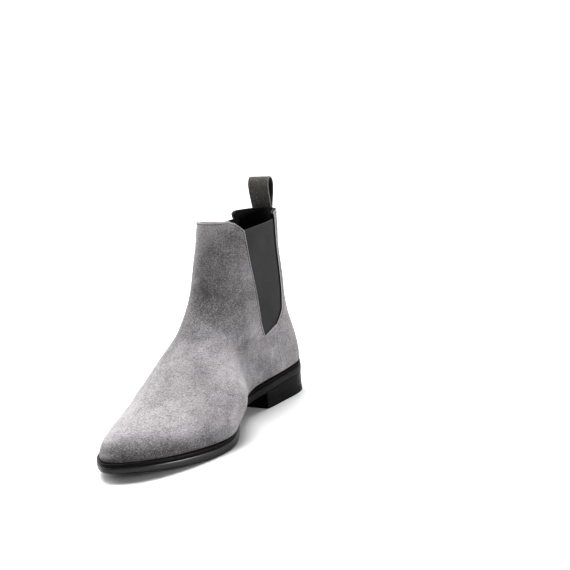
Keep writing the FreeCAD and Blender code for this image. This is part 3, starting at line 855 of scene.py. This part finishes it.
def strap(name, node, inward, thick, material, slot):
    """A strip folded into a loop; inward is how far inside the loop's outer line a ply lies."""
    low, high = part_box("pull_tab")
    collar = QUARTER_HIGH.z
    middle = (low.x + high.x) / 2
    half = (high.x - low.x) / 2
    tall = high.z - collar
    share = [s[0] for s in LEG]
    fine = np.concatenate([np.linspace(0, CROWN, 30),
                           CROWN + (1 - CROWN) * np.sin(np.linspace(0, math.pi / 2, 24)[1:])])
    reach = np.interp(fine, share, [s[1] for s in LEG])
    full = np.interp(fine, share, [s[2] for s in LEG])
    top = fine > CROWN
    reach[top] = np.sqrt(np.maximum(0, 1 - ((fine[top] - CROWN) / (1 - CROWN)) ** 2))
    smooth = np.convolve(np.pad(reach, 2, "edge"), np.ones(5) / 5, "valid")
    reach = np.maximum(smooth, 0) * (fine < 0.999)
    heights = collar - SUNK + fine * (tall + SUNK)
    legs = [(middle - half * r, z, f) for r, z, f in zip(reach, heights, full)]
    legs += [(middle + half * r, z, f) for r, z, f in zip(reach, heights, full)][::-1][1:]
    line = np.array(legs)
    run = np.gradient(line[:, :2], axis=0)
    out = np.stack([-run[:, 1], run[:, 0]], axis=1)
    out /= np.linalg.norm(out, axis=1, keepdims=True)
    width = (high.y - low.y) / 2
    aside = (high.y + low.y) / 2
    rows = []
    for (x, z, f), (ox, oz) in zip(line, out):
        spread = width * (0.97 + 0.03 * ease((z - collar) / tall))
        rows.append([Vector((x - ox * inward * f, aside + spread * u, z - oz * inward * f))
                     for u in ACROSS])
    points = [p for r in rows for p in r]
    made = shell(name, points, grid_faces(len(rows), len(ACROSS)), thick, material, slot,
                 edge_band=0.8 * MM)
    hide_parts(node)
    return made


tab = strap("pull_strap", "pull_tab", 0.0, 1.0 * MM, TAB_SUEDE, "tab_suede")
tab_lining = strap("pull_strap_lining", "pull_tab_backing", 1.05 * MM, 0.65 * MM, TAB_LINING,
                   "tab_lining")


# --- stitching ----------------------------------------------------------------------------

def skin_points(made, spots):
    """(point, normal) on a piece's face nearest to each spot."""
    mesh = made.data
    tree = BVHTree.FromPolygons([v.co for v in mesh.vertices],
                                [list(p.vertices) for p in mesh.polygons])
    found = []
    for spot in spots:
        place, normal, _, _ = tree.find_nearest(spot)
        found.append((place, normal))
    return found


def beside(outline, distance, close_in):
    """The outline in side view moved sideways by a distance, corners kept sharp."""
    path = np.array(outline)
    keep = [0]
    for k in range(1, len(path)):
        if np.linalg.norm(path[k] - path[keep[-1]]) > 0.4 * MM:
            keep.append(k)
    path = path[keep]
    run = np.diff(path, axis=0)
    run /= np.linalg.norm(run, axis=1, keepdims=True)
    left = np.stack([-run[:, 1], run[:, 0]], axis=1) * close_in
    moved = [path[0] + left[0] * distance]
    for k in range(1, len(path) - 1):
        both = left[k - 1] + left[k]
        both /= max(1e-9, (both ** 2).sum() / 2)
        moved.append(path[k] + both * distance)
    moved.append(path[-1] + left[-1] * distance)
    return moved


def sewn_outline(rows, side):
    return [(sides[side][0].x, sides[side][0].z) for sides, _ in rows]


def topline(rows, side, height, start_at, solid):
    """Points round the closed end at a height under the topline."""
    sides, crown = rows[-1]
    line = [p for p in sides[side] if abs(p.x - crown.x) < abs(start_at - crown.x)]
    return [wall_point(solid, side, p.x, height) for p in line[::2]] + [
        Vector((crown.x, 0.0, height))]


def stitch_panel(name, made, rows, solid, first, way):
    runs = []
    for side in (1, -1):
        outline = [p for p in sewn_outline(rows, side) if p[1] >= first]
        path = beside(outline, STITCH_INSET, way)
        height = rows[-1][1].z - STITCH_INSET
        path = [p for p in path if p[1] <= height + 0.01 * MM]
        spots = [wall_point(solid, side, p[0], p[1]) for p in path]
        spots += topline(rows, side, height, path[-1][0], solid)
        runs.append(skin_points(made, spots))
    return threads(name, runs, THREAD)


# height where the quarter's row of stitches starts, round the corner of the elastic's foot
BACK_STITCH_FROM = 0.082
ABOVE_TIP = [r for r in FRONT_ROWS if r[0][1][0].z >= TIP[1]]
stitch_front = stitch_panel("stitch_front", front_panel, ABOVE_TIP, VAMP, 0.0, -1)
stitch_back = stitch_panel("stitch_back", back_panel, BACK_ROWS, QUARTER, BACK_STITCH_FROM, 1)


# --- copies of the linings ----------------------------------------------------------------

def flexible(node, name, material):
    """A copy of the node's own shape as a piece of its own, with the given material; the node is
    hidden.
    """
    mesh = NODES[node].data.copy()
    made = bpy.data.objects.new(name, mesh)
    bpy.context.scene.collection.objects.link(made)
    mesh.materials.clear()
    mesh.materials.append(material)
    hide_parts(node)
    return made


front_lining = flexible("vamp_lining", "front_lining", LINING)
back_lining = flexible("quarter_lining", "back_lining", LINING)

for node, look in NODE_LOOKS.items():
    mesh = NODES[node].data
    mesh.materials.clear()
    mesh.materials.append(look)
NODES["pull_tab_ends"].data.materials.clear()
NODES["pull_tab_ends"].data.materials.append(TAB_SUEDE)
for node in ("heel_block", "heel_top_lift"):
    soft = NODES[node].modifiers.new("dressed edge", "BEVEL")
    soft.width = 0.5 * MM
    soft.segments = 2
    soft.limit_method = "ANGLE"
    soft.angle_limit = math.radians(50)

# --- baked placements; the front stitching on the boot's body -----------------------------

# half lengths across the ball, given for the vamp and for the sole
VAMP_BEND = 38 * MM
SOLE_BEND = 24 * MM

for half, pieces in ((VAMP_BEND, (front_panel, front_lining)), (SOLE_BEND, (outsole, welt))):
    for piece in pieces:
        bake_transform(piece)
for piece in (back_panel, back_lining, stitch_back):
    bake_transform(piece)
for piece in (gusset_outer, gusset_inner):
    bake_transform(piece)
for piece in (tab, tab_lining):
    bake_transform(piece)
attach(stitch_front, "boot")

# --- studio -------------------------------------------------------------------------------

scene = bpy.context.scene
scene.view_settings.view_transform = "Standard"
scene.view_settings.look = "High Contrast"
scene.render.film_transparent = False


# half the floor's side, far enough that its edge lies at the horizon
FLOOR_REACH = 60.0
FLOOR_PAPER = (0.58, 0.58, 0.583)


def ground():
    mesh = bpy.data.meshes.new("studio_floor")
    square = ((-1, -1), (1, -1), (1, 1), (-1, 1))
    mesh.from_pydata([(x * FLOOR_REACH, y * FLOOR_REACH, 0) for x, y in square], [],
                     [(0, 1, 2, 3)])
    made = bpy.data.objects.new("studio_floor", mesh)
    scene.collection.objects.link(made)
    look = Look("studio_paper", Roughness=0.9, Specular_IOR_Level=0.1)
    look.shader.inputs["Base Color"].default_value = (*FLOOR_PAPER, 1.0)
    mesh.materials.append(look.material)
    return made


def lamp(name, place, target, size, power):
    """A rectangular lamp at a place, facing a target; sizes in metres, power in watts."""
    data = bpy.data.lights.new(name, "AREA")
    data.shape = "RECTANGLE"
    data.size, data.size_y = size
    data.energy = power
    made = bpy.data.objects.new(name, data)
    scene.collection.objects.link(made)
    made.location = place
    made.rotation_euler = (Vector(target) - Vector(place)).to_track_quat("-Z", "Y").to_euler()
    return made


def camera():
    back = Vector((math.cos(CAM_AZIMUTH) * math.cos(CAM_HEIGHT),
                   math.sin(CAM_AZIMUTH) * math.cos(CAM_HEIGHT), math.sin(CAM_HEIGHT)))
    right = Vector((-math.sin(CAM_AZIMUTH), math.cos(CAM_AZIMUTH), 0))
    up = back.cross(right)
    tilted = right * math.cos(CAM_ROLL) + up * math.sin(CAM_ROLL)
    raised = up * math.cos(CAM_ROLL) - right * math.sin(CAM_ROLL)
    data = bpy.data.cameras.new("photo_camera")
    data.lens = CAM_LENS
    data.sensor_width = 36.0
    made = bpy.data.objects.new("photo_camera", data)
    scene.collection.objects.link(made)
    turn = Matrix((tilted, raised, back)).transposed().to_4x4()
    made.matrix_world = Matrix.Translation(CAM_TARGET + back * CAM_DISTANCE) @ turn
    scene.camera = made


# world strength: where the white wall starts and is full, dim and full strength
ROOM = (0.30, 0.95, 0.30, 1.1)
WALL_RISE = 0.35


def surround():
    """A white cyclorama behind the boot and a dim room in front of it."""
    made = bpy.data.worlds.new("studio")
    made.use_nodes = True
    tree = made.node_tree
    place = tree.nodes.new("ShaderNodeTexCoord").outputs["Generated"]
    dot = tree.nodes.new("ShaderNodeVectorMath")
    dot.operation = "DOT_PRODUCT"
    dot.inputs[1].default_value = (-math.cos(CAM_AZIMUTH), -math.sin(CAM_AZIMUTH), WALL_RISE)
    tree.links.new(place, dot.inputs[0])
    share = tree.nodes.new("ShaderNodeMapRange")
    share.interpolation_type = "SMOOTHSTEP"
    for key, value in zip(("From Min", "From Max", "To Min", "To Max"), ROOM):
        share.inputs[key].default_value = value
    tree.links.new(dot.outputs["Value"], share.inputs["Value"])
    tree.links.new(share.outputs[0], tree.nodes["Background"].inputs["Strength"])
    tree.nodes["Background"].inputs["Color"].default_value = (1.0, 1.0, 1.0, 1.0)
    scene.world = made


def soft_sun(name, place, strength, spread):
    """Even light from the direction of a place, spread over an angle in degrees."""
    data = bpy.data.lights.new(name, "SUN")
    data.energy = strength
    data.angle = math.radians(spread)
    made = bpy.data.objects.new(name, data)
    scene.collection.objects.link(made)
    made.rotation_euler = (-Vector(place)).to_track_quat("-Z", "Y").to_euler()


ground()
camera()
surround()
soft_sun("overhead", (-0.15, -0.25, 1.0), 4.8, 46)
lamp("left_fill", (0.5, -1.2, 0.9), (0.08, 0.0, 0.08), (1.0, 1.0), 14.0)
lamp("right_strip", (0.12, 0.9, 0.22), (0.18, 0.0, 0.02), (0.4, 0.3), 6.0)
